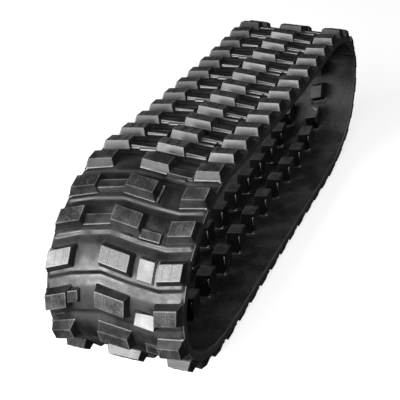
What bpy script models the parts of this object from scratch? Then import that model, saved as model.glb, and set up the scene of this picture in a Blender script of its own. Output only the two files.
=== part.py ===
"""A rubber track of a small excavator, standing free on its tread.

The track is one endless band.  It is laid out along its cord line, the line at the middle of the
steel cords, where the band keeps its length as it bends.  A place on the band is given as
(s, y, t): s runs along the cord line from the middle of the bottom towards the front and over the
top, y across the band, and t out from the cord line towards the tread.  The band is divided into
eight stretches, hinged to each other about Y, so that the loop can be pressed down or drawn up.
"""
import math

import bmesh
import bpy
from mathutils import Matrix, Vector

# Sizes in metres, angles in degrees.
WIDTH = 0.200
ROWS = 40
ROW_PITCH = 0.054
CORES = 30
CORE_PITCH = 0.072
LENGTH = ROWS * ROW_PITCH
FIRST_ROW_LINE = 0.034
FIRST_CORE = -0.003

# The loop's shape at rest: arcs of the front end from the bottom up, as radius and angle.
END_ARCS = ((0.330, 21.9), (0.111, 119.4), (0.226, 41.3))

# The layers, as heights t from the cord line.
LUG_TOP = 0.0180
TREAD_FACE = 0.0046
TREAD_EDGE = 0.0028
TREAD_BASE = 0.0018
CARCASS_TOP = 0.0015
CARCASS_FACE = -0.0098
SHOULDER = 0.006
INNER_CHAMFER = 0.0015
CORD_HALF = 0.0012
CORD_INNER_Y = 0.042
CORD_OUTER_Y = 0.088
FABRIC_LOW = 0.0004
CLEARANCE = 0.0003
END_GAP = 0.0010

# Tread blocks: the y of both sides, and where the block's leading edge lies on each side, measured
# from the row's line.
BLOCK_LENGTH = 0.023
BLOCK_ROOT = 0.0036
BLOCK_SPREAD_S = 0.0032
BLOCK_SPREAD_Y = 0.0030
BLOCKS = (
    (-0.0955, -0.0637, 0.0057, 0.0172),
    (-0.0213, 0.0213, 0.0254, 0.0185),
    (0.0637, 0.0955, 0.0144, 0.0207),
)

# Metal core: a flat bar across the band with two guide horns on its inner side.
BAR_HALF_LENGTH = 0.015
BAR_HALF_WIDTH = 0.072
BAR_TOP = -0.0032
BAR_BOTTOM = -0.0076
HORN_INNER_Y = 0.016
HORN_OUTER_Y = 0.041
HORN_STEM = -0.0125
HORN_SLANT = 0.30
# The horn's levels: back, front, near side, far side, height at the back and at the front, and how
# far its front and back lean back across the band.
HORN_LEVELS = (
    (-0.0120, 0.0120, 0.0172, 0.0398, HORN_STEM, HORN_STEM, 0.0),
    (-0.0130, 0.0080, 0.0185, 0.0385, -0.0435, -0.0370, HORN_SLANT),
    (-0.0105, 0.0050, 0.0210, 0.0360, -0.0465, -0.0405, HORN_SLANT),
)
# The spans of the bar's underside that carry a horn, and the side each is on.
HORN_SPANS = {1: -1, 3: 1}

# The linkage: each end has a hinge at the bottom, two at the middle and one at the top.  The two
# lower ones are mirrored by the two upper ones, so that the loop stays closed as it bends.
HINGE_X = 0.2433
BEND_X = 0.4446
BEND_LOW_Z = 0.0571
TOP_HINGE_Z = 0.2620

# The stretches: name, first row line, last row line, slices in each row.
STRETCHES = (
    ("bottom", -5, 4, 1),
    ("front_lower", 4, 8, 3),
    ("front_middle", 8, 11, 3),
    ("front_upper", 11, 15, 3),
    ("top", 15, 24, 1),
    ("rear_upper", 24, 28, 3),
    ("rear_middle", 28, 31, 3),
    ("rear_lower", 31, 35, 3),
)


def loop_arcs():
    """Half of the cord line as stretches of (length, first heading, turn per metre)."""
    arcs = []
    heading = 0.0
    along = 0.0
    across = 0.0
    for radius, angle in END_ARCS:
        turn = math.radians(angle)
        arcs.append((radius * turn, heading, 1.0 / radius))
        across += radius * (math.sin(heading + turn) - math.sin(heading))
        along += radius * turn
        heading += turn
    dip = heading - math.pi
    narrowing = math.sin(dip) / dip
    top = (LENGTH / 2 - along + across) / (1.0 + narrowing)
    flat = LENGTH / 2 - along - top
    return [(flat, 0.0, 0.0)] + arcs + [(top, heading, -dip / top)]


ARCS = loop_arcs()


def cord_point(s):
    """The cord line's x, z and heading at s."""
    s = s % LENGTH
    mirrored = s > LENGTH / 2
    left = LENGTH - s if mirrored else s
    x = 0.0
    z = 0.0
    angle = 0.0
    for length, heading, turn in ARCS:
        step = min(left, length)
        angle = heading + turn * step
        if turn:
            x += (math.sin(angle) - math.sin(heading)) / turn
            z += (math.cos(heading) - math.cos(angle)) / turn
        else:
            x += step * math.cos(heading)
            z += step * math.sin(heading)
        left -= step
        if left <= 0.0:
            break
    if mirrored:
        return -x, z + LUG_TOP, 2 * math.pi - angle
    return x, z + LUG_TOP, angle


def bend(s, y, t):
    """The place in space of the point (s, y, t) of the band."""
    x, z, heading = cord_point(s)
    return Vector((x + t * math.sin(heading), y, z - t * math.cos(heading)))


def row_line(row):
    return FIRST_ROW_LINE + row * ROW_PITCH


def material(name, colour, roughness, metallic):
    made = bpy.data.materials.new(name)
    made.use_nodes = True
    shader = made.node_tree.nodes["Principled BSDF"]
    shader.inputs["Base Color"].default_value = (*colour, 1.0)
    shader.inputs["Roughness"].default_value = roughness
    shader.inputs["Metallic"].default_value = metallic
    return made


def add_object(name, mesh, pivot, finish, cutter=False):
    """An object whose parent is the empty on its stretch's hinge."""
    made = bpy.data.objects.new(name, mesh)
    bpy.context.scene.collection.objects.link(made)
    made.parent = pivot
    if finish is not None and not mesh.materials:
        mesh.materials.append(finish)
    if cutter:
        made.hide_render = True
        made.display_type = "WIRE"
    return made


def mesh_from(name, shape):
    bmesh.ops.recalc_face_normals(shape, faces=shape.faces)
    mesh = bpy.data.meshes.new(name)
    shape.to_mesh(mesh)
    shape.free()
    return mesh


def add_loft(shape, rings):
    """A closed solid through rings of points, with a face at each end."""
    loops = [[shape.verts.new(point) for point in ring] for ring in rings]
    count = len(loops[0])
    for near, far in zip(loops, loops[1:]):
        for i in range(count):
            j = (i + 1) % count
            shape.faces.new((near[i], near[j], far[j], far[i]))
    shape.faces.new(loops[0])
    shape.faces.new(loops[-1])


def stations(first, last, slices):
    """The s values at which a stretch's layers are sliced, with the gap at both ends."""
    steps = (last - first) * slices
    values = [row_line(first + i / slices) for i in range(steps + 1)]
    values[0] += END_GAP
    values[-1] -= END_GAP
    return values


def swept(name, outline, places, origin):
    """A closed solid that carries an outline, a list of (y, t), along the band."""
    shape = bmesh.new()
    add_loft(shape, [[bend(s, y, t) - origin for y, t in outline] for s in places])
    return mesh_from(name, shape)


def tread_outline():
    half = WIDTH / 2
    return [(-half, TREAD_BASE), (half, TREAD_BASE), (half, TREAD_EDGE),
            (half - SHOULDER, TREAD_FACE), (SHOULDER - half, TREAD_FACE), (-half, TREAD_EDGE)]


def mirrored_outline(right):
    """The whole outline from its half at positive y, which starts at the bottom."""
    return right + [(-y, t) for y, t in reversed(right)]


def carcass_outline():
    """The inner rubber, with a groove on its outer side that holds the cord ply."""
    half = WIDTH / 2
    inner = CORD_INNER_Y - CLEARANCE
    outer = CORD_OUTER_Y + CLEARANCE
    floor = -CORD_HALF - CLEARANCE
    return mirrored_outline([
        (half - INNER_CHAMFER, CARCASS_FACE), (half, CARCASS_FACE + INNER_CHAMFER),
        (half, CARCASS_TOP), (outer, CARCASS_TOP), (outer, floor), (inner, floor),
        (inner, FABRIC_LOW - CLEARANCE)])


def cord_outline():
    """Two bundles of steel cord, joined by the fabric that carries them."""
    return mirrored_outline([
        (CORD_INNER_Y, FABRIC_LOW), (CORD_INNER_Y, -CORD_HALF), (CORD_OUTER_Y, -CORD_HALF),
        (CORD_OUTER_Y, CORD_HALF)])


def add_block(shape, row, block, origin):
    """One tread block: a slanted top face and flanks that spread towards the band."""
    y_low, y_high, lead_low, lead_high = block
    start = row_line(row)
    rings = []
    for t, spread in ((BLOCK_ROOT, 1.0), (LUG_TOP, 0.0)):
        grow_s = spread * BLOCK_SPREAD_S
        grow_y = spread * BLOCK_SPREAD_Y
        corners = ((start + lead_low - grow_s, y_low - grow_y),
                   (start + lead_high - grow_s, y_high + grow_y),
                   (start + lead_high + BLOCK_LENGTH + grow_s, y_high + grow_y),
                   (start + lead_low + BLOCK_LENGTH + grow_s, y_low - grow_y))
        rings.append([bend(s, y, t) - origin for s, y in corners])
    add_loft(shape, rings)


def build_blocks(name, first, last, origin):
    shape = bmesh.new()
    for row in range(first, last):
        for block in BLOCKS:
            add_block(shape, row, block, origin)
    return mesh_from(name, shape)


def horn_ring(level, side):
    """The four corners of one level of the horn on one side."""
    back, front, near, far, back_height, front_height, slant = level
    first, second = sorted((side * near, side * far))
    lean = slant * (second - first) / 2
    return ((back + lean, first, back_height), (back - lean, second, back_height),
            (front - lean, second, front_height), (front + lean, first, front_height))


def core_shape(grow, levels):
    """A bar with a horn on each side of the middle, as one closed solid in its own frame.

    The bar's length lies along X, its width along Y, and Z is the height t.
    """
    half = BAR_HALF_LENGTH + grow
    edges = [-BAR_HALF_WIDTH - grow, -HORN_OUTER_Y - grow, -HORN_INNER_Y + grow,
             HORN_INNER_Y - grow, HORN_OUTER_Y + grow, BAR_HALF_WIDTH + grow]
    shape = bmesh.new()
    top = [[shape.verts.new((x, y, BAR_TOP + grow)) for y in edges] for x in (-half, half)]
    low = [[shape.verts.new((x, y, BAR_BOTTOM - grow)) for y in edges] for x in (-half, half)]
    last = len(edges) - 1
    for i in range(last):
        shape.faces.new((top[0][i], top[0][i + 1], top[1][i + 1], top[1][i]))
        for k in (0, 1):
            shape.faces.new((top[k][i], top[k][i + 1], low[k][i + 1], low[k][i]))
    for i in (0, last):
        shape.faces.new((top[0][i], top[1][i], low[1][i], low[0][i]))
    for i in range(last):
        ring = [low[0][i], low[0][i + 1], low[1][i + 1], low[1][i]]
        for level in levels if i in HORN_SPANS else ():
            upper = [shape.verts.new(corner) for corner in horn_ring(level, HORN_SPANS[i])]
            for a in range(4):
                b = (a + 1) % 4
                shape.faces.new((ring[a], ring[b], upper[b], upper[a]))
            ring = upper
        shape.faces.new(ring)
    return shape


def core_mesh(finish):
    mesh = mesh_from("metal_core", core_shape(0.0, HORN_LEVELS))
    mesh.materials.append(finish)
    return mesh


def pocket_mesh():
    """The space for one core: the bar, and the horns' way out through the inner face."""
    half = BAR_HALF_LENGTH + CLEARANCE
    mouth = (-half, half, HORN_INNER_Y - CLEARANCE, HORN_OUTER_Y + CLEARANCE, HORN_STEM, HORN_STEM,
             0.0)
    return mesh_from("core_pocket", core_shape(CLEARANCE, (mouth,)))


def core_matrix(s, origin):
    """Turns and places a core's own frame at s on the cord line."""
    x, z, heading = cord_point(s)
    place = Matrix.Translation(Vector((x, 0.0, z)) - origin)
    along = Vector((math.cos(heading), 0.0, math.sin(heading)))
    out = Vector((math.sin(heading), 0.0, -math.cos(heading)))
    across = out.cross(along)
    turn = Matrix((along, across, out)).transposed().to_4x4()
    return place @ turn


def cores_between(first, last):
    """The s of each core on a stretch, with its number round the loop."""
    low = row_line(first)
    high = row_line(last)
    found = []
    for number in range(-CORES, 2 * CORES):
        s = FIRST_CORE + number * CORE_PITCH
        if low < s < high:
            found.append((number % CORES + 1, s))
    return found


def build_carcass(label, places, cores, pivot, finish):
    """The inner rubber of one stretch, with a pocket for each of its cores."""
    origin = pivot.location
    mesh = swept("carcass_" + label, carcass_outline(), places, origin)
    carcass = add_object("inner_rubber_" + label, mesh, pivot, finish)
    pocket = pocket_mesh()
    shape = bmesh.new()
    for _, s in cores:
        part = pocket.copy()
        part.transform(core_matrix(s, origin))
        shape.from_mesh(part)
        bpy.data.meshes.remove(part)
    bpy.data.meshes.remove(pocket)
    cutter = add_object("pockets_" + label, mesh_from("pockets_" + label, shape), pivot, None,
                        cutter=True)
    cut = carcass.modifiers.new("core_pockets", "BOOLEAN")
    cut.operation = "DIFFERENCE"
    cut.object = cutter


def build_tread(label, places, rows, pivot, finish):
    """The outer rubber of one stretch: the band's cover, joined to its tread blocks."""
    origin = pivot.location
    tread = add_object("tread_" + label, swept("tread_" + label, tread_outline(), places, origin),
                       pivot, finish)
    blocks = add_object("blocks_" + label, build_blocks("blocks_" + label, *rows, origin), pivot,
                        None, cutter=True)
    join = tread.modifiers.new("tread_blocks", "BOOLEAN")
    join.operation = "UNION"
    join.object = blocks


def hinges():
    """The pivot of each stretch; the bottom stretch is the fixed one."""
    bend_high = TOP_HINGE_Z - BEND_LOW_Z
    lift = LUG_TOP
    return {
        "bottom": (0.0, 0.0, 0.0),
        "front_lower": (HINGE_X, 0.0, lift),
        "front_middle": (BEND_X, 0.0, BEND_LOW_Z + lift),
        "front_upper": (BEND_X, 0.0, bend_high + lift),
        "top": (HINGE_X, 0.0, TOP_HINGE_Z + lift),
        "rear_upper": (-HINGE_X, 0.0, TOP_HINGE_Z + lift),
        "rear_middle": (-BEND_X, 0.0, BEND_LOW_Z + lift),
        "rear_lower": (-HINGE_X, 0.0, lift),
    }


def build_track():
    tread_rubber = material("tread_rubber", (0.030, 0.030, 0.032), 0.55, 0.0)
    inner_rubber = material("inner_rubber", (0.020, 0.020, 0.021), 0.62, 0.0)
    steel_cord = material("steel_cord", (0.42, 0.38, 0.30), 0.45, 0.8)
    core_steel = material("core_steel", (0.055, 0.056, 0.060), 0.50, 0.6)
    core = core_mesh(core_steel)
    for label, first, last, slices in STRETCHES:
        pivot = bpy.data.objects.new("hinge_" + label, None)
        bpy.context.scene.collection.objects.link(pivot)
        pivot.location = hinges()[label]
        places = stations(first, last, slices)
        cores = cores_between(first, last)
        build_tread(label, places, (first, last), pivot, tread_rubber)
        build_carcass(label, places, cores, pivot, inner_rubber)
        cords = swept("cords_" + label, cord_outline(), places, pivot.location)
        add_object("steel_cords_" + label, cords, pivot, steel_cord)
        for number, s in cores:
            made = add_object("metal_core_%02d" % number, core, pivot, core_steel)
            made.matrix_local = core_matrix(s, pivot.location)


def clear_scene():
    for old in list(bpy.data.objects):
        bpy.data.objects.remove(old, do_unlink=True)


clear_scene()
build_track()
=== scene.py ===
"""The looks of the rubber track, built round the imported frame."""
import math

import bmesh
import bpy
import numpy as np
from mathutils import Matrix, Vector


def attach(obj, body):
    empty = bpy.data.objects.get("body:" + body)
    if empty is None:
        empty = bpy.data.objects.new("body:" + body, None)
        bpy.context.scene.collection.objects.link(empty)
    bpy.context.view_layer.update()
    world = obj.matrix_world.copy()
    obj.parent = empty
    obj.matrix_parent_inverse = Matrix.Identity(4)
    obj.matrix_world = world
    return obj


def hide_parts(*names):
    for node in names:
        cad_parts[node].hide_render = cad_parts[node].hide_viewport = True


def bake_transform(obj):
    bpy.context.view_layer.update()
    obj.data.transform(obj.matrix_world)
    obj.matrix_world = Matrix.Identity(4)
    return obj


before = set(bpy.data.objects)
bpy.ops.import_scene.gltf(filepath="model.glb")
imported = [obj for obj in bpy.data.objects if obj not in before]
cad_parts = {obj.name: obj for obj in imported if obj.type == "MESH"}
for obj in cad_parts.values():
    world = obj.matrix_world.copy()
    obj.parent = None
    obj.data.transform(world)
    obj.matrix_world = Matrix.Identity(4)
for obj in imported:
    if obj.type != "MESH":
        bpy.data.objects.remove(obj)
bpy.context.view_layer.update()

# --- The band's own measures, metres and degrees, as in the part's source.
WIDTH = 0.200
ROWS = 40
ROW_PITCH = 0.054
CORES = 30
CORE_PITCH = 0.072
LENGTH = ROWS * ROW_PITCH
FIRST_ROW_LINE = 0.034
FIRST_CORE = -0.003
END_ARCS = ((0.330, 21.9), (0.111, 119.4), (0.226, 41.3))
LUG_TOP = 0.0180
INNER_FACE = -0.0098
HORN_SLANT = 0.30

# Tread blocks: the y of both sides, and the leading edge's distance from the row's line on each.
BLOCK_LENGTH = 0.023
BLOCK_TOP = LUG_TOP - 0.0005
LEFT_BLOCK = (-0.0955, -0.0637, 0.0057, 0.0172)
CENTRE_BLOCK = (-0.0213, 0.0213, 0.0254, 0.0185)
RIGHT_BLOCK = (0.0637, 0.0955, 0.0144, 0.0207)
# Each block with its two moulded lines: how far across the block they lie, from 0 to 1.
BLOCKS = (
    (LEFT_BLOCK, (0.36, 0.70)),
    (CENTRE_BLOCK, (0.30, 0.66)),
    (RIGHT_BLOCK, (0.20, 0.55)),
)

# The moulded base under the blocks zigzags across the band: in front of each row it steps down to a
# smooth groove, and behind the row it slopes down gently.  Distances are from the leading edge's line.
BASE_FACE = 0.0046
GROOVE_FACE = 0.0016
STEP_FOOT = -0.0140
STEP_HEAD = -0.0084
SLOPE_HEAD = 0.0250
SLOPE_FOOT = 0.0405

# The flat strip along both edges of the outer face: its height, and where the base runs into it.
EDGE_FACE = 0.0016
EDGE_START_Y = 0.0945
EDGE_END_Y = 0.0998

# The inner face: a recess in front of each horn, a ridge beside the horns that stops at each of
# them, a raised rim near the edge, and a rounded corner at the edge itself.
RECESS_START = 0.0180
RECESS_END = 0.0270
RECESS_DEPTH = 0.0052
RECESS_INNER_Y = 0.0150
RECESS_OUTER_Y = 0.0435
RECESS_SOFT = 0.0012
SLANTED_TO_Y = 0.046
RIDGE_Y = 0.0465
RIDGE_HALF = 0.0016
RIDGE_RISE = 0.0007
RIDGE_BREAK = 0.020
RIM_Y = 0.0965
RIM_HALF = 0.0026
RIM_RISE = 0.0006
CORNER_ROUND = 0.0015

# Cross-sections along the band for each row.
STATIONS_PER_ROW = 36

# The stretches of the band, each across one joint: name, first and last row line, and the two bodies
# that the joint ties together.
STRETCHES = (
    ("front_low", 0, 6, "bottom", "front_lower"),
    ("front_bend_low", 6, 9, "front_lower", "front_middle"),
    ("front_bend_high", 9, 13, "front_middle", "front_upper"),
    ("front_high", 13, 20, "front_upper", "top"),
    ("rear_high", 20, 28, "top", "rear_upper"),
    ("rear_bend_low", 28, 33, "rear_middle", "rear_lower"),
    ("rear_low", 33, 40, "rear_lower", "bottom"),
)
# The bodies: first and last row line.
BODIES = {
    "bottom": (-5, 4), "front_lower": (4, 8), "front_middle": (8, 11), "front_upper": (11, 15),
    "top": (15, 24), "rear_upper": (24, 28), "rear_middle": (28, 31), "rear_lower": (31, 35),
}
# How far on each side of a joint a point of the cord line is taken.
BLEND_REACH = 0.012


# --- The loop

def loop_arcs():
    """Half of the cord line as stretches of (length, first heading, turn per metre)."""
    arcs = []
    heading = 0.0
    along = 0.0
    across = 0.0
    for radius, angle in END_ARCS:
        turn = math.radians(angle)
        arcs.append((radius * turn, heading, 1.0 / radius))
        across += radius * (math.sin(heading + turn) - math.sin(heading))
        along += radius * turn
        heading += turn
    dip = heading - math.pi
    top = (LENGTH / 2 - along + across) / (1.0 + math.sin(dip) / dip)
    return [(LENGTH / 2 - along - top, 0.0, 0.0)] + arcs + [(top, heading, -dip / top)]


ARCS = loop_arcs()


def cord_line(s):
    """The cord line's x, z and heading at each s of an array."""
    s = np.mod(np.asarray(s, float), LENGTH)
    mirrored = s > LENGTH / 2
    left = np.where(mirrored, LENGTH - s, s)
    x = np.zeros_like(left)
    z = np.zeros_like(left)
    angle = np.zeros_like(left)
    start = 0.0
    for length, heading, turn in ARCS:
        step = np.clip(left - start, 0.0, length)
        end = heading + turn * step
        if turn:
            x += (np.sin(end) - math.sin(heading)) / turn
            z += (math.cos(heading) - np.cos(end)) / turn
        else:
            x += step * math.cos(heading)
            z += step * math.sin(heading)
        angle = np.where(left >= start, end, angle)
        start += length
    x = np.where(mirrored, -x, x)
    angle = np.where(mirrored, 2 * math.pi - angle, angle)
    return x, z + LUG_TOP, angle


def bend(s, y, t):
    """The places in space of the points (s, y, t) of the band, one row for each."""
    x, z, angle = cord_line(s)
    y = np.broadcast_to(y, x.shape)
    return np.stack((x + t * np.sin(angle), y, z - t * np.cos(angle)), axis=-1)


class Flat:
    """The flat frame that touches the bent band round one place on it."""

    def __init__(self, s, reach):
        x, z, angle = (float(v) for v in cord_line(s))
        self.s = s
        self.origin = np.array((x, 0.0, z))
        self.along = np.array((math.cos(angle), 0.0, math.sin(angle)))
        self.out = np.array((math.sin(angle), 0.0, -math.cos(angle)))
        before, after = (float(cord_line(s + d)[2]) for d in (-reach / 2, reach / 2))
        turn = (after - before + math.pi) % (2 * math.pi) - math.pi
        self.sag = reach * turn / 8

    def place(self, s, y, t):
        s, y, t = np.broadcast_arrays(np.asarray(s, float), y, t)
        spots = self.origin + np.outer(s - self.s, self.along) + np.outer(t - self.sag, self.out)
        spots[:, 1] = y
        return spots


def row_line(row):
    """The s that a row's leads are measured from."""
    return FIRST_ROW_LINE + row * ROW_PITCH


# --- Meshes

# Material slots: of the bands, of the blocks, and of the horns.
OUTER_SLOT, INNER_SLOT, RIM_SLOT = 0, 1, 2
# The blocks' third slot: top edges and moulded lines coloured lighter, wear and a painted highlight.
SIDE_SLOT, TOP_SLOT, WORN_HIGHLIGHT_SLOT = 0, 1, 2
# The horns' slots: fronts and backs with painted shade, sides and tops with painted light.
HORN_SHADED_SLOT, HORN_LIT_SLOT = 0, 1

# Edges turn sharp from these angles on, in degrees.
BLOCK_SHARP = 38.0
BAND_SHARP = 60.0
# The weighted normals' weight: high, so that a block's large faces stay flat.
FLAT_WEIGHT = 90


class Build:
    """Collects the points, faces and material slots of one mesh, each piece of it closed."""

    def __init__(self):
        self.points = []
        self.faces = []
        self.slots = []
        self.count = 0

    def add(self, points, faces, slot):
        self.points.append(np.asarray(points, float).reshape(-1, 3))
        self.faces.extend([tuple(i + self.count for i in face) for face in faces])
        self.slots.extend([slot] * len(faces))
        self.count += len(self.points[-1])

    def rings(self, rings, slot, cap_slot=None, worn=(0, 0)):
        """A closed solid through rings of points, capped at both ends, with the slot for worn edges
        with a painted highlight from worn's first ring to its last."""
        n = len(rings[0])
        faces = []
        for k in range(len(rings) - 1):
            a = k * n
            b = a + n
            for i in range(n):
                j = (i + 1) % n
                faces.append((a + i, a + j, b + j, b + i))
        self.add(np.concatenate(rings), faces, slot)
        for k in range(*worn):
            first = len(self.slots) - (len(rings) - 1 - k) * n
            self.slots[first:first + n] = [WORN_HIGHLIGHT_SLOT] * n
        first = self.count - len(rings) * n
        self.faces.append(tuple(first + i for i in reversed(range(n))))
        self.slots.append(slot)
        last = self.count - n
        self.faces.append(tuple(last + i for i in range(n)))
        self.slots.append(slot if cap_slot is None else cap_slot)

    def make(self, name, materials, sharp=BLOCK_SHARP, crisp=True):
        """The object: faces outwards, sharp edges marked, and flat faces kept flat if crisp."""
        mesh = bpy.data.meshes.new(name)
        points = np.concatenate(self.points)
        mesh.from_pydata(points.tolist(), [], self.faces)
        mesh.validate()
        mesh.polygons.foreach_set("material_index", self.slots)
        turned = bmesh.new()
        turned.from_mesh(mesh)
        bmesh.ops.recalc_face_normals(turned, faces=turned.faces)
        turned.to_mesh(mesh)
        turned.free()
        for finish in materials:
            mesh.materials.append(finish)
        mesh.shade_smooth()
        mesh.set_sharp_from_angle(angle=math.radians(sharp))
        made = bpy.data.objects.new(name, mesh)
        bpy.context.scene.collection.objects.link(made)
        if crisp:
            flat = made.modifiers.new("flat_faces", "WEIGHTED_NORMAL")
            flat.keep_sharp = True
            flat.weight = FLAT_WEIGHT
        return made


def smooth(low, high, value):
    """0 below low, 1 above high, with soft ends."""
    k = np.clip((value - low) / (high - low), 0.0, 1.0)
    return k * k * (3.0 - 2.0 * k)


def hump(value, centre, half):
    """A rounded bump, 1 at the centre and 0 at half its width away."""
    k = np.clip(1.0 - ((value - centre) / half) ** 2, 0.0, 1.0)
    return k * k


# --- The band's two faces

LEAD_Y = [y for block, _ in BLOCKS for y in block[:2]]
LEAD_S = [s for block, _ in BLOCKS for s in block[2:]]


def lead(y):
    """How far the blocks' leading edge lies past the row's line at each y."""
    return np.interp(y, LEAD_Y, LEAD_S)


def base_height(w):
    """Height of the moulded base, w past the leading edge's line."""
    w = np.mod(w - STEP_FOOT, ROW_PITCH) + STEP_FOOT
    step = smooth(STEP_FOOT, STEP_HEAD, w) * (1.0 - smooth(SLOPE_HEAD, SLOPE_FOOT, w))
    return GROOVE_FACE + (BASE_FACE - GROOVE_FACE) * step


def outer_height(s, y):
    """Height of the outer face."""
    edge = smooth(EDGE_START_Y, EDGE_END_Y, np.abs(y))
    return base_height(s - FIRST_ROW_LINE - lead(y)) * (1.0 - edge) + EDGE_FACE * edge


def between(low, high, soft, value):
    """1 between low and high, 0 outside, with soft ends."""
    return smooth(low - soft, low + soft, value) * (1.0 - smooth(high - soft, high + soft, value))


def inner_height(s, y):
    """Height of the inner face."""
    v = np.mod(s - FIRST_CORE + CORE_PITCH / 2, CORE_PITCH) - CORE_PITCH / 2
    side = np.abs(y)
    horn_y = np.sign(y) * (RECESS_INNER_Y + RECESS_OUTER_Y) / 2
    v = v + HORN_SLANT * (y - horn_y) * (side < SLANTED_TO_Y)
    along = between(RECESS_START, RECESS_END, RECESS_SOFT, v)
    across = between(RECESS_INNER_Y, RECESS_OUTER_Y, RECESS_SOFT, side)
    ridge = hump(side, RIDGE_Y, RIDGE_HALF) * (1.0 - hump(v, 0.0, RIDGE_BREAK))
    rim = hump(side, RIM_Y, RIM_HALF)
    t = INNER_FACE + RECESS_DEPTH * along * across - RIDGE_RISE * ridge - RIM_RISE * rim
    corner = np.clip((side - (WIDTH / 2 - CORNER_ROUND)) / CORNER_ROUND, 0.0, 1.0)
    return t + CORNER_ROUND * (1.0 - np.sqrt(np.clip(1.0 - corner ** 2, 0.0, 1.0)))


# The y of the points across the band, closer together at the edges.
ACROSS = np.concatenate((
    [-0.1000, -0.0998, -0.0990, -0.0978, -0.0964, -0.0950],
    np.linspace(-0.0935, 0.0935, 84),
    [0.0950, 0.0964, 0.0978, 0.0990, 0.0998, 0.1000]))
# The cut between two bands follows the zigzag, this far before the leading edges' line; on the inner
# face it runs straight, at the mean of the leads.
CUT_AT = -0.016
MEAN_LEAD = 0.017
# How many columns of faces at each edge belong to the band's rim.
RIM_POINTS = 2

# At the pivot that no joint closes, each band ends a little short, and its end face leans back this
# far from the cord line per metre of height, so that the two can turn against each other.
OPEN_PIVOT_ROW = 28
OPEN_PIVOT_GAP = 0.0011
OPEN_PIVOT_LEAN = 0.10


def band_mesh(name, first, last, materials):
    """The band from one row line to another, cut along the middle of the groove there."""
    rows = last - first
    steps = rows * STATIONS_PER_ROW + 1
    base = row_line(first) + CUT_AT + np.linspace(0.0, rows * ROW_PITCH, steps)
    s_out, y_out = np.meshgrid(base, ACROSS, indexing="ij")
    s_out = s_out + lead(y_out)
    t_out = outer_height(s_out, y_out)
    s_in, y_in = np.meshgrid(base + MEAN_LEAD, ACROSS[::-1], indexing="ij")
    t_in = inner_height(s_in, y_in)
    for row, ring, way in ((first, 0, 1.0), (last, -1, -1.0)):
        if row == OPEN_PIVOT_ROW:
            for s, t in ((s_out, t_out), (s_in, t_in)):
                s[ring] += way * (OPEN_PIVOT_GAP + OPEN_PIVOT_LEAN * np.abs(t[ring]))
    points = np.concatenate((bend(s_out, y_out, t_out), bend(s_in, y_in, t_in)), axis=1)
    n = points.shape[1]
    half = len(ACROSS)
    i, j = np.meshgrid(np.arange(steps - 1), np.arange(n), indexing="ij")
    k = (j + 1) % n
    quads = np.stack((i * n + j, i * n + k, (i + 1) * n + k, (i + 1) * n + j), axis=-1)
    quads = quads.reshape(-1, 4)
    column = j.reshape(-1)
    rim = (column < RIM_POINTS) | (column >= n - 1 - RIM_POINTS) \
        | (np.abs(column - half + 0.5) < RIM_POINTS + 1)
    slots = np.where(rim, RIM_SLOT, np.where(column < half - 1, OUTER_SLOT, INNER_SLOT))
    build = Build()
    build.add(points, quads.tolist(), OUTER_SLOT)
    build.slots = slots.tolist()
    for ring, flip in ((0, False), (steps - 1, True)):
        start = ring * n
        for a in range(half - 1):
            face = (start + a, start + n - 1 - a, start + n - 2 - a, start + a + 1)
            build.faces.append(tuple(reversed(face)) if flip else face)
            build.slots.append(OUTER_SLOT)
    return build.make(name, materials, BAND_SHARP, crisp=False)


# --- Blocks

def rounded_outline(corners, grow, radius, arc=4):
    """The outline of a convex polygon, grown and with round corners, counter-clockwise."""
    corners = np.asarray(corners, float)
    n = len(corners)
    edges = np.roll(corners, -1, axis=0) - corners
    edges /= np.linalg.norm(edges, axis=1)[:, None]
    out = np.stack((edges[:, 1], -edges[:, 0]), axis=1)
    points = []
    for i in range(n):
        a, b = out[i - 1], out[i]
        bisector = (a + b) / (1.0 + float(a @ b))
        centre = corners[i] + bisector * (grow - radius)
        first = math.atan2(a[1], a[0])
        turn = math.atan2(a[0] * b[1] - a[1] * b[0], float(a @ b))
        for k in range(arc + 1):
            angle = first + turn * k / arc
            points.append(centre + radius * np.array((math.cos(angle), math.sin(angle))))
    return np.array(points)


# A lump's rings, from the band up: height over the foot, growth of the outline, corner radius.
FOOT_LEVELS = (
    (-0.0016, 0.0052, 0.0030),
    (-0.0002, 0.0044, 0.0028),
    (0.0005, 0.0036, 0.0024),
    (0.0016, 0.0030, 0.0018),
    (0.0024, 0.0028, 0.0016),
)
# And on at its top: height over the top face, growth of the outline, corner radius.
TOP_LEVELS = (
    (-0.0016, 0.0004, 0.0010),
    (-0.0006, 0.0002, 0.0009),
    (-0.0002, 0.0000, 0.0008),
    (0.0000, -0.0005, 0.0006),
    (0.0000, -0.0014, 0.0005),
)

# The rings that a lump's top edge lies between, coloured lighter: wear and a painted highlight.
WORN_HIGHLIGHT_RINGS = (6, 9)


def add_lump(build, corners, foot, top, cap_slot=TOP_SLOT, slope=1.0, tilt=0.0):
    """A moulded lump on the band: corners are (s, y), foot is a height and top one for each side."""
    low_y, high_y = corners[0][1], corners[2][1]
    flat = Flat(sum(s for s, _ in corners) / 4, corners[1][0] - corners[0][0])
    rings = []
    for rise, grow, radius in FOOT_LEVELS:
        outline = rounded_outline(corners, grow * slope, radius)
        rings.append(bend(outline[:, 0], outline[:, 1], foot + rise))
    for drop, grow, radius in TOP_LEVELS:
        outline = rounded_outline(corners, grow, radius)
        height = np.interp(outline[:, 1], (low_y, high_y), top) + tilt * (outline[:, 0] - flat.s)
        rings.append(flat.place(outline[:, 0], outline[:, 1], height + drop))
    build.rings(rings, SIDE_SLOT, cap_slot, WORN_HIGHLIGHT_RINGS)


def block_corners(start, block):
    """The corners of a block's top face, counter-clockwise in (s, y)."""
    y_low, y_high, lead_low, lead_high = block
    return ((start + lead_low, y_low), (start + lead_low + BLOCK_LENGTH, y_low),
            (start + lead_high + BLOCK_LENGTH, y_high), (start + lead_high, y_high))


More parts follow.
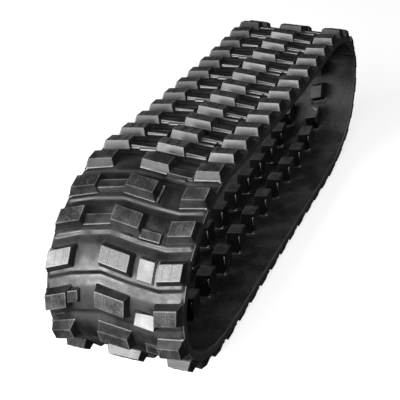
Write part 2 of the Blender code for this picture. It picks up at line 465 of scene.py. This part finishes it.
def along_block(block, across, along):
    """The (s, y) of a point on a block's top face, from 0 to 1 each way, from the row's line."""
    y_low, y_high, lead_low, lead_high = block
    return (lead_low + (lead_high - lead_low) * across + BLOCK_LENGTH * along,
            y_low + (y_high - y_low) * across)


# A moulded line: its profile as (y, height over the block's top), and its ends from 0 to 1.
LINE_PROFILE = ((-0.0006, -0.0006), (0.0006, -0.0006), (0.0003, 0.0005), (-0.0003, 0.0005))
LINE_ENDS = (0.05, 0.95)


def add_line(build, start, block, across):
    """A thin moulded line along a block's top face."""
    flat = Flat(start + (block[2] + block[3] + BLOCK_LENGTH) / 2, BLOCK_LENGTH)
    rings = []
    for end in LINE_ENDS:
        s, y = along_block(block, across, end)
        spots = np.array([(start + s, y + dy, BLOCK_TOP + dt) for dy, dt in LINE_PROFILE])
        rings.append(flat.place(spots[:, 0], spots[:, 1], spots[:, 2]))
    # The line takes the lighter finish: wear and a painted highlight.
    build.rings(rings, WORN_HIGHLIGHT_SLOT)


# A platform's foot grows less than a block's, by this factor.
PLATFORM_SLOPE = 0.5
# The low platforms that tie the blocks together, in the gaps on each side of the centre block: y of
# both sides, front and back from the leading edge's line, height at each side, and tilt.  Most rows
# follow one of two patterns in turn; the rows round the front end have their own.
EVEN_PLATFORMS = (
    (-0.0625, -0.0225, 0.0040, 0.0170, 0.0094, 0.0062, 0.0),
    (-0.0460, -0.0225, -0.0020, 0.0030, 0.0062, 0.0058, 0.0),
    (0.0225, 0.0560, 0.0020, 0.0150, 0.0092, 0.0080, 0.0),
)
ODD_PLATFORMS = (
    (-0.0625, -0.0320, 0.0070, 0.0200, 0.0082, 0.0066, 0.0),
    (0.0225, 0.0490, -0.0035, 0.0060, 0.0064, 0.0060, 0.0),
    (0.0225, 0.0600, 0.0120, 0.0210, 0.0088, 0.0076, 0.0),
)
FRONT_PLATFORMS = {
    7: (),
    8: ((0.0400, 0.0620, -0.0080, 0.0060, 0.0080, 0.0086, -0.30),),
    9: ((-0.0637, -0.0500, 0.0050, 0.0215, 0.0140, 0.0100, 0.0),
        (0.0330, 0.0620, -0.0080, 0.0090, 0.0088, 0.0092, -0.60)),
    10: ((0.0325, 0.0545, -0.0040, 0.0240, 0.0090, 0.0090, 0.0),),
    11: ((-0.0625, -0.0225, -0.0020, 0.0140, 0.0078, 0.0092, 0.10),
         (0.0225, 0.0520, -0.0070, 0.0060, 0.0078, 0.0074, 0.15)),
    12: ((-0.0625, -0.0225, 0.0010, 0.0150, 0.0112, 0.0126, 0.10),
         (0.0262, 0.0288, -0.0050, 0.0240, 0.0064, 0.0064, 0.0)),
    13: ((0.0225, 0.0600, -0.0040, 0.0110, 0.0080, 0.0076, 0.0),
         (0.0225, 0.0500, -0.0080, 0.0060, 0.0060, 0.0056, 0.0)),
}


def gap_corners(start, y_low, y_high, front, back):
    """The corners of a low platform between two blocks, along the blocks' leading edges."""
    low, high = float(lead(y_low)), float(lead(y_high))
    return ((start + low + front, y_low), (start + low + back, y_low),
            (start + high + back, y_high), (start + high + front, y_high))


def platforms_of_row(row):
    """The platforms of one row."""
    if row in FRONT_PLATFORMS:
        return FRONT_PLATFORMS[row]
    return EVEN_PLATFORMS if row % 2 == 0 else ODD_PLATFORMS


def add_platforms(build, row):
    """The low platforms of one row."""
    for y_low, y_high, front, back, low, high, tilt in platforms_of_row(row):
        corners = gap_corners(row_line(row), y_low, y_high, front, back)
        add_lump(build, corners, BASE_FACE, (low, high), SIDE_SLOT, PLATFORM_SLOPE, tilt)


def blocks_mesh(name, first, last, materials):
    """The blocks and platforms of the rows from first up to last."""
    build = Build()
    for row in range(first, last):
        start = row_line(row)
        for block, lines in BLOCKS:
            add_lump(build, block_corners(start, block), BASE_FACE, (BLOCK_TOP, BLOCK_TOP))
            for across in lines:
                add_line(build, start, block, across)
        add_platforms(build, row)
    return build.make(name, materials)


# --- Horns

# A horn's rings from the band to its top: height at the back and at the front, then the outline's
# back, front, near side and far side from the core's middle, and the corner radius.
HORN_LEVELS = (
    (-0.0088, -0.0088, -0.0172, 0.0184, 0.0142, 0.0428, 0.0040),
    (-0.0099, -0.0099, -0.0166, 0.0174, 0.0149, 0.0421, 0.0036),
    (-0.0111, -0.0110, -0.0161, 0.0166, 0.0155, 0.0415, 0.0030),
    (-0.0135, -0.0130, -0.0158, 0.0160, 0.0160, 0.0410, 0.0024),
    (-0.0442, -0.0404, -0.0148, 0.0128, 0.0170, 0.0400, 0.0018),
    (-0.0454, -0.0418, -0.0146, 0.0124, 0.0172, 0.0398, 0.0017),
    (-0.0463, -0.0429, -0.0140, 0.0115, 0.0178, 0.0392, 0.0014),
    (-0.0467, -0.0434, -0.0132, 0.0104, 0.0186, 0.0384, 0.0010),
)
# A horn's face takes the lighter finish, with painted light, if its normal has more than this across
# the band or inwards; the fronts and backs keep the near-black finish, with painted shade.
HORN_LIT_FROM = 0.75


def point_of(build, index):
    """One point of the last piece added to a mesh."""
    return build.points[-1][index - build.count + len(build.points[-1])]


def add_horn(build, s, side):
    """One guide horn: its front and back lean back across the band, and its top slopes."""
    flat = Flat(s, 0.0)
    rings = []
    for back_height, front_height, back, front, near, far, radius in HORN_LEVELS:
        corners = ((back, near), (front, near), (front, far), (back, far))
        outline = rounded_outline(corners, 0.0, radius)
        height = np.interp(outline[:, 0], (back, front), (back_height, front_height))
        lean = HORN_SLANT * side * (outline[:, 1] - (near + far) / 2)
        ring = flat.place(s + outline[:, 0] - lean, side * outline[:, 1], height)
        rings.append(ring if side > 0 else ring[::-1])
    first = len(build.slots)
    build.rings(rings[::-1], HORN_SHADED_SLOT)
    # Sides and tops get the slot with painted light; fronts and backs keep the one with painted shade.
    for k in range(first, len(build.faces)):
        a, b, c = (point_of(build, i) for i in build.faces[k][:3])
        normal = np.cross(b - a, c - a)
        if max(abs(normal[1]), abs(normal @ flat.out)) > HORN_LIT_FROM * np.linalg.norm(normal):
            build.slots[k] = HORN_LIT_SLOT


def horns_mesh(name, cores, materials):
    """A pair of horns at each of the cores."""
    build = Build()
    for s in cores:
        for side in (-1, 1):
            add_horn(build, s, side)
    return build.make(name, materials)


def cores_between(first, last):
    """The s of the cores between two row lines."""
    low, high = row_line(first), row_line(last)
    return [FIRST_CORE + n * CORE_PITCH for n in range(-CORES, 2 * CORES)
            if low < FIRST_CORE + n * CORE_PITCH < high]


# --- Materials

def node(tree, kind, **values):
    """A new shader node with its settings."""
    made = tree.nodes.new(kind)
    for key, value in values.items():
        setattr(made, key, value)
    return made


def ramp(tree, source, stops):
    """A grey ramp over source through stops of (position, value)."""
    made = tree.nodes.new("ShaderNodeValToRGB")
    made.color_ramp.elements[0].position = stops[0][0]
    made.color_ramp.elements[0].color = (*[stops[0][1]] * 3, 1.0)
    made.color_ramp.elements[1].position = stops[-1][0]
    made.color_ramp.elements[1].color = (*[stops[-1][1]] * 3, 1.0)
    for position, value in stops[1:-1]:
        element = made.color_ramp.elements.new(position)
        element.color = (value, value, value, 1.0)
    tree.links.new(source, made.inputs[0])
    return made.outputs[0]


def rubber(name, dark, light, rough_low, rough_high, grain, scuff, patch_scale=38.0, shine=0.55):
    """Moulded rubber: faint cloudy colour, uneven gloss, fine grain and scuffs."""
    made = bpy.data.materials.new(name)
    made.use_nodes = True
    tree = made.node_tree
    shader = tree.nodes["Principled BSDF"]
    place = node(tree, "ShaderNodeTexCoord")
    cloud = node(tree, "ShaderNodeTexNoise")
    cloud.inputs["Scale"].default_value = patch_scale
    cloud.inputs["Detail"].default_value = 5.0
    cloud.inputs["Roughness"].default_value = 0.62
    tree.links.new(place.outputs["Object"], cloud.inputs["Vector"])
    speck = node(tree, "ShaderNodeTexNoise")
    speck.inputs["Scale"].default_value = 520.0
    speck.inputs["Detail"].default_value = 3.0
    tree.links.new(place.outputs["Object"], speck.inputs["Vector"])
    scratch_place = node(tree, "ShaderNodeMapping")
    scratch_place.inputs["Scale"].default_value = (60.0, 900.0, 60.0)
    scratch_place.inputs["Rotation"].default_value = (0.2, 0.3, 0.5)
    tree.links.new(place.outputs["Object"], scratch_place.inputs["Vector"])
    scratch = node(tree, "ShaderNodeTexNoise")
    scratch.inputs["Scale"].default_value = 1.0
    scratch.inputs["Detail"].default_value = 2.0
    tree.links.new(scratch_place.outputs[0], scratch.inputs["Vector"])
    scuffs = ramp(tree, scratch.outputs["Fac"], ((0.60, 0.0), (0.74, 1.0)))
    dots = ramp(tree, speck.outputs["Fac"], ((0.60, 0.0), (0.72, 1.0)))
    patches = ramp(tree, cloud.outputs["Fac"], ((0.42, 0.0), (0.68, 1.0)))
    worn = node(tree, "ShaderNodeMath", operation="MULTIPLY")
    tree.links.new(scuffs, worn.inputs[0])
    tree.links.new(patches, worn.inputs[1])
    marks = node(tree, "ShaderNodeMath", operation="MAXIMUM")
    tree.links.new(worn.outputs[0], marks.inputs[0])
    tree.links.new(dots, marks.inputs[1])
    amount = node(tree, "ShaderNodeMath", operation="MULTIPLY")
    amount.inputs[1].default_value = scuff
    tree.links.new(marks.outputs[0], amount.inputs[0])
    tint = node(tree, "ShaderNodeMix", data_type="RGBA")
    tint.inputs["A"].default_value = (*dark, 1.0)
    tint.inputs["B"].default_value = (*light, 1.0)
    tree.links.new(patches, tint.inputs["Factor"])
    dusty = node(tree, "ShaderNodeMix", data_type="RGBA")
    dusty.inputs["B"].default_value = (0.16, 0.16, 0.155, 1.0)
    tree.links.new(tint.outputs["Result"], dusty.inputs["A"])
    tree.links.new(amount.outputs[0], dusty.inputs["Factor"])
    tree.links.new(dusty.outputs["Result"], shader.inputs["Base Color"])
    gloss = node(tree, "ShaderNodeMapRange")
    gloss.inputs["From Min"].default_value = 0.30
    gloss.inputs["From Max"].default_value = 0.70
    gloss.inputs["To Min"].default_value = rough_low
    gloss.inputs["To Max"].default_value = rough_high
    tree.links.new(cloud.outputs["Fac"], gloss.inputs["Value"])
    tree.links.new(gloss.outputs[0], shader.inputs["Roughness"])
    shader.inputs["Specular IOR Level"].default_value = shine
    heights = node(tree, "ShaderNodeMath", operation="ADD")
    tree.links.new(speck.outputs["Fac"], heights.inputs[0])
    tree.links.new(cloud.outputs["Fac"], heights.inputs[1])
    bump = node(tree, "ShaderNodeBump")
    bump.inputs["Strength"].default_value = grain
    bump.inputs["Distance"].default_value = 0.0004
    tree.links.new(heights.outputs[0], bump.inputs["Height"])
    tree.links.new(bump.outputs[0], shader.inputs["Normal"])
    return made


# The darkest tint of bare metal, as a share of its colour.
METAL_DARK = 0.7


def metal(name, colour, roughness):
    """Bare metal with a faint cloudy tint."""
    made = bpy.data.materials.new(name)
    made.use_nodes = True
    tree = made.node_tree
    shader = tree.nodes["Principled BSDF"]
    place = node(tree, "ShaderNodeTexCoord")
    cloud = node(tree, "ShaderNodeTexNoise")
    cloud.inputs["Scale"].default_value = 120.0
    cloud.inputs["Detail"].default_value = 4.0
    tree.links.new(place.outputs["Object"], cloud.inputs["Vector"])
    tint = node(tree, "ShaderNodeMix", data_type="RGBA")
    tint.inputs["A"].default_value = (*[c * METAL_DARK for c in colour], 1.0)
    tint.inputs["B"].default_value = (*colour, 1.0)
    tree.links.new(cloud.outputs["Fac"], tint.inputs["Factor"])
    tree.links.new(tint.outputs["Result"], shader.inputs["Base Color"])
    shader.inputs["Metallic"].default_value = 0.85
    shader.inputs["Roughness"].default_value = roughness
    return made


base_rubber = rubber("base_rubber", (0.004, 0.004, 0.0043), (0.009, 0.009, 0.0093), 0.24, 0.78,
                     0.30, 0.10, 24.0, 0.36)
face_rubber = rubber("face_rubber", (0.008, 0.008, 0.0083), (0.024, 0.024, 0.024), 0.34, 0.56,
                     0.55, 0.55)
side_rubber = rubber("side_rubber", (0.0045, 0.0045, 0.0047), (0.013, 0.013, 0.013), 0.28, 0.50,
                     0.30, 0.15)
# Lighter rubber for the blocks' top edges and moulded lines: wear and a painted highlight.
worn_highlight_rubber = rubber("worn_highlight_rubber", (0.024, 0.024, 0.024), (0.075, 0.075, 0.073), 0.34, 0.55,
                     0.30, 0.40)
edge_rubber = rubber("edge_rubber", (0.035, 0.035, 0.035), (0.065, 0.065, 0.065), 0.60, 0.80,
                     0.50, 0.30)
inner_rubber = rubber("inner_rubber", (0.007, 0.007, 0.0073), (0.030, 0.030, 0.030), 0.55, 0.80,
                      0.45, 0.40, 24.0, 0.32)
# The horns' two finishes: near black with painted shade on the fronts and backs, lighter with painted
# light on the sides and tops.
horn_painted_shade_rubber = rubber("horn_painted_shade_rubber", (0.0015, 0.0015, 0.0016), (0.003, 0.003, 0.003), 0.55, 0.75,
                     0.30, 0.04, shine=0.04)
horn_painted_light_rubber = rubber("horn_painted_light_rubber", (0.014, 0.014, 0.014), (0.034, 0.034, 0.033), 0.50, 0.75,
                       0.40, 0.35)
core_steel = metal("core_steel_finish", (0.16, 0.16, 0.17), 0.45)
cord_steel = metal("cord_steel_finish", (0.55, 0.47, 0.33), 0.38)

for name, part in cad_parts.items():
    if name.startswith("metal_core"):
        finish = core_steel
    elif name.startswith("steel_cords"):
        finish = cord_steel
    else:
        continue
    part.data.materials.clear()
    part.data.materials.append(finish)

# --- The band, its blocks and its horns

for label, first, last, near_body, far_body in STRETCHES:
    band = band_mesh("band_" + label, first, last, [base_rubber, inner_rubber, edge_rubber])
    joint_at = row_line(BODIES[near_body][1])
    ends = [Vector(bend(joint_at + d, 0.0, 0.0).tolist()) for d in (-BLEND_REACH, BLEND_REACH)]
    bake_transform(band)
    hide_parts("inner_rubber_" + near_body, "inner_rubber_" + far_body)

for body, (first, last) in BODIES.items():
    blocks = blocks_mesh("tread_blocks_" + body, first, last, [side_rubber, face_rubber, worn_highlight_rubber])
    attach(blocks, body)
    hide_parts("tread_" + body)
    horns = horns_mesh("horn_skins_" + body, cores_between(first, last), [horn_painted_shade_rubber, horn_painted_light_rubber])
    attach(horns, body)

# --- Floor, light and camera

FLOOR_HALF = 9.0
FLOOR_CORNERS = ((-1, -1), (1, -1), (1, 1), (-1, 1))

floor_mesh = bpy.data.meshes.new("floor")
floor_mesh.from_pydata([(x * FLOOR_HALF, y * FLOOR_HALF, 0.0) for x, y in FLOOR_CORNERS],
                       [], [(0, 1, 2, 3)])
floor = bpy.data.objects.new("floor", floor_mesh)
bpy.context.scene.collection.objects.link(floor)
floor_finish = bpy.data.materials.new("floor_finish")
floor_finish.use_nodes = True
floor_shader = floor_finish.node_tree.nodes["Principled BSDF"]
floor_shader.inputs["Base Color"].default_value = (0.38, 0.38, 0.38, 1.0)
floor_shader.inputs["Roughness"].default_value = 0.8
floor_shader.inputs["Specular IOR Level"].default_value = 0.1
floor_shader.inputs["Emission Color"].default_value = (1.0, 1.0, 1.0, 1.0)
floor_shader.inputs["Emission Strength"].default_value = 0.74
floor_mesh.materials.append(floor_finish)
floor.visible_glossy = False
floor.visible_diffuse = False

world = bpy.data.worlds.new("studio")
world.use_nodes = True
world.node_tree.nodes["Background"].inputs["Color"].default_value = (1.0, 1.0, 1.0, 1.0)
world.node_tree.nodes["Background"].inputs["Strength"].default_value = 0.03
bpy.context.scene.world = world
bpy.context.scene.view_settings.view_transform = "Standard"


def softbox(name, place, target, width, height, power):
    """A soft rectangular lamp that looks at target: metres and watts."""
    light = bpy.data.lights.new(name, "AREA")
    light.shape = "RECTANGLE"
    light.size = width
    light.size_y = height
    light.energy = power
    made = bpy.data.objects.new(name, light)
    bpy.context.scene.collection.objects.link(made)
    made.location = place
    made.visible_camera = False
    made.rotation_euler = (Vector(target) - Vector(place)).to_track_quat("-Z", "Y").to_euler()


softbox("front_light", (2.85, -0.78, 1.05), (0.1, 0.0, 0.2), 3.0, 1.5, 362.0)
softbox("rear_fill", (-2.2, -1.7, 0.30), (0.0, 0.0, 0.15), 1.6, 0.5, 12.0)
softbox("top_light", (-0.1, 0.9, 2.4), (0.0, 0.0, 0.1), 2.2, 1.8, 23.0)

CAMERA_AT = (1.4793, 0.5275, 0.8875)
CAMERA_AZIMUTH = 111.77
CAMERA_ELEVATION = 27.21
CAMERA_ROLL = -1.18
CAMERA_LENS = 91.1

a = math.radians(CAMERA_AZIMUTH)
e = math.radians(CAMERA_ELEVATION)
r = math.radians(CAMERA_ROLL)
back = Vector((math.sin(a) * math.cos(e), -math.cos(a) * math.cos(e), math.sin(e)))
right = Vector((math.cos(a), math.sin(a), 0.0))
up = back.cross(right)
turned_right = right * math.cos(r) + up * math.sin(r)
turned_up = up * math.cos(r) - right * math.sin(r)
camera_data = bpy.data.cameras.new("camera")
camera_data.lens = CAMERA_LENS
camera_data.sensor_width = 36.0
camera = bpy.data.objects.new("camera", camera_data)
bpy.context.scene.collection.objects.link(camera)
turn = Matrix((turned_right, turned_up, back)).transposed().to_4x4()
camera.matrix_world = Matrix.Translation(CAMERA_AT) @ turn
bpy.context.scene.camera = camera

bpy.context.view_layer.update()
